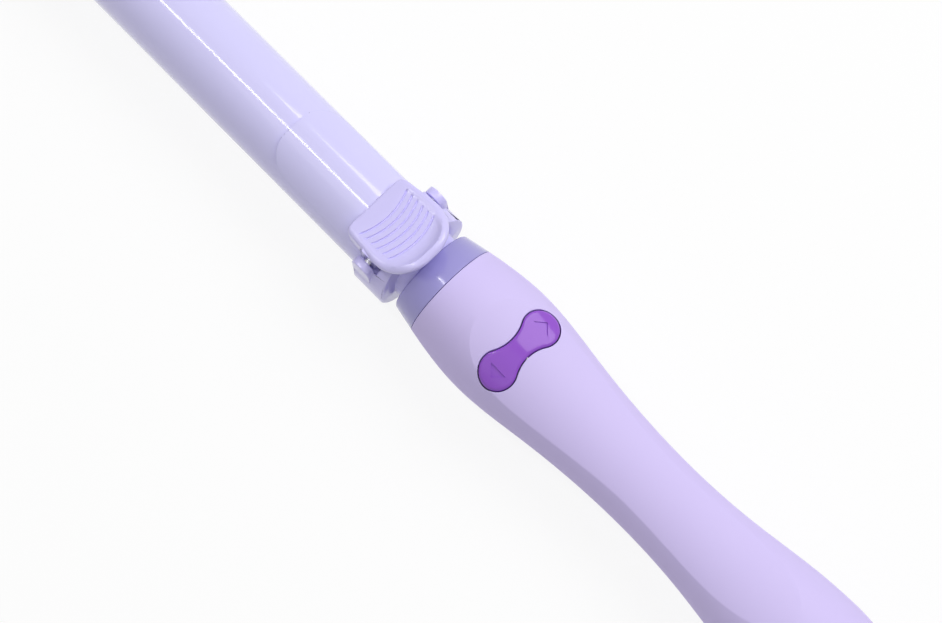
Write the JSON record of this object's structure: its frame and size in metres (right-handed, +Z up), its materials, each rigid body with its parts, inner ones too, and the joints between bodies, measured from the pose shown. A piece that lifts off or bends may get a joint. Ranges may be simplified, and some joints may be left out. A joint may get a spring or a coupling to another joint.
{
  "type": "rotating curling iron",
  "caption": "Curling iron whose heated barrel turns on its handle, with a hinged clamp, a sunk rocker button for the turning direction and a swivelling cord inlet.",
  "frame": {"origin": "on the floor that the back of the handle rests on, below the middle of the iron's length and width", "axes": "+X along the barrel towards its cool tip, +Z up out of the face with the rocker button, +Y across the iron to the left when looking along +X"},
  "size_m": [0.398, 0.042, 0.0464],
  "materials": {
    "barrel_coat": "gloss",
    "handle_soft": "soft matte",
    "collar_gloss": "gloss",
    "lever_satin": "satin",
    "rocker_gloss": "gloss",
    "lens_smoke": "gloss",
    "dark_plastic": "matte",
    "frame_plastic": "matte",
    "gear_nylon": "satin",
    "steel": "satin",
    "bronze": "satin",
    "contact_brass": "polished",
    "heater_alu": "satin",
    "heater_ceramic": "matte",
    "insulation_amber": "satin",
    "mica": "matte",
    "lead_sleeve": "matte",
    "carbon": "matte",
    "board_green": "satin",
    "component_black": "satin",
    "lamp_blue": "gloss",
    "fuse_glass": "clear"
  },
  "bodies": {
    "handle": {"handle_ring": "collar_gloss", "front_bearing": "bronze", "rear_bearing": "bronze", "inner_frame": "frame_plastic", "gear_motor": "steel", "motor_screws": "steel", "contact_brushes": "carbon", "brush_block": "dark_plastic", "front_shell": "handle_soft", "back_shell": "handle_soft", "rocker_pin": "steel", "button_board": "board_green", "rocker_switches": "component_black", "power_board": "board_green", "power_switch": "component_black", "light_lens": "lens_smoke", "light_lamp": "lamp_blue", "main_board": "board_green", "supply_block": "component_black", "supply_capacitor": "component_black", "heater_switch": "component_black", "mains_fuse": "fuse_glass", "mains_terminals": "frame_plastic", "board_screws": "steel", "case_screws": "steel", "end_cap": "handle_soft", "swivel_retainer": "frame_plastic", "retainer_screws": "steel"},
    "barrel": {"barrel_tube": "barrel_coat", "tip_cap": "collar_gloss", "barrel_base": "lever_satin", "barrel_screws": "steel", "hinge_pins": "steel", "clamp_spring": "steel", "spindle": "steel", "spindle_screws": "steel", "drive_gear": "gear_nylon", "slip_ring_drum": "dark_plastic", "slip_rings": "contact_brass", "spindle_clip": "steel", "heater_leads": "lead_sleeve", "heater_bars": "heater_alu", "ptc_plates": "heater_ceramic", "heater_electrodes": "contact_brass", "heater_insulation": "insulation_amber", "thermistor": "component_black", "thermal_fuse": "contact_brass", "heat_shield": "mica"},
    "clamp": {"clamp_spoon": "barrel_coat", "thumb_lever": "lever_satin", "lever_rivets": "steel"},
    "pinion": {"motor_pinion": "steel"},
    "rocker": {"rocker_button": "rocker_gloss"},
    "power": {"power_button": "rocker_gloss"},
    "swivel": {"cord_swivel": "dark_plastic"}
  },
  "joints": [
    {"name": "barrel_spin", "type": "hinge", "parent": "handle", "child": "barrel", "pos_m": [0.009, 0, 0.0204], "axis": [1, 0, 0], "continuous": true},
    {"name": "pinion_spin", "type": "hinge", "parent": "handle", "child": "pinion", "pos_m": [-0.0063, 0, 0.0089], "axis": [1, 0, 0], "continuous": true},
    {"name": "clamp_open", "type": "hinge", "parent": "barrel", "child": "clamp", "pos_m": [0.0232, 0, 0.0328], "axis": [0, -1, 0], "range_deg": [0, 16], "stiffness_Nm_per_rad": 0.3, "springref_deg": -20.05, "deforming": ["clamp_spring"]},
    {"name": "rocker_tilt", "type": "hinge", "parent": "handle", "child": "rocker", "pos_m": [-0.0326, 0, 0.034], "axis": [1, 0, 0], "range_deg": [-2.5, 2.5], "stiffness_Nm_per_rad": 0.3},
    {"name": "power_press", "type": "slide", "parent": "handle", "child": "power", "axis": [0, 0, -1], "range_m": [0, 0.0008], "stiffness_N_per_m": 500},
    {"name": "cord_swivel_spin", "type": "hinge", "parent": "handle", "child": "swivel", "pos_m": [-0.199, 0, 0.0204], "axis": [1, 0, 0], "continuous": true}
  ],
  "couplings": [
    {"joint": "pinion_spin", "follows": "barrel_spin", "ratio": -2.8333}
  ]
}
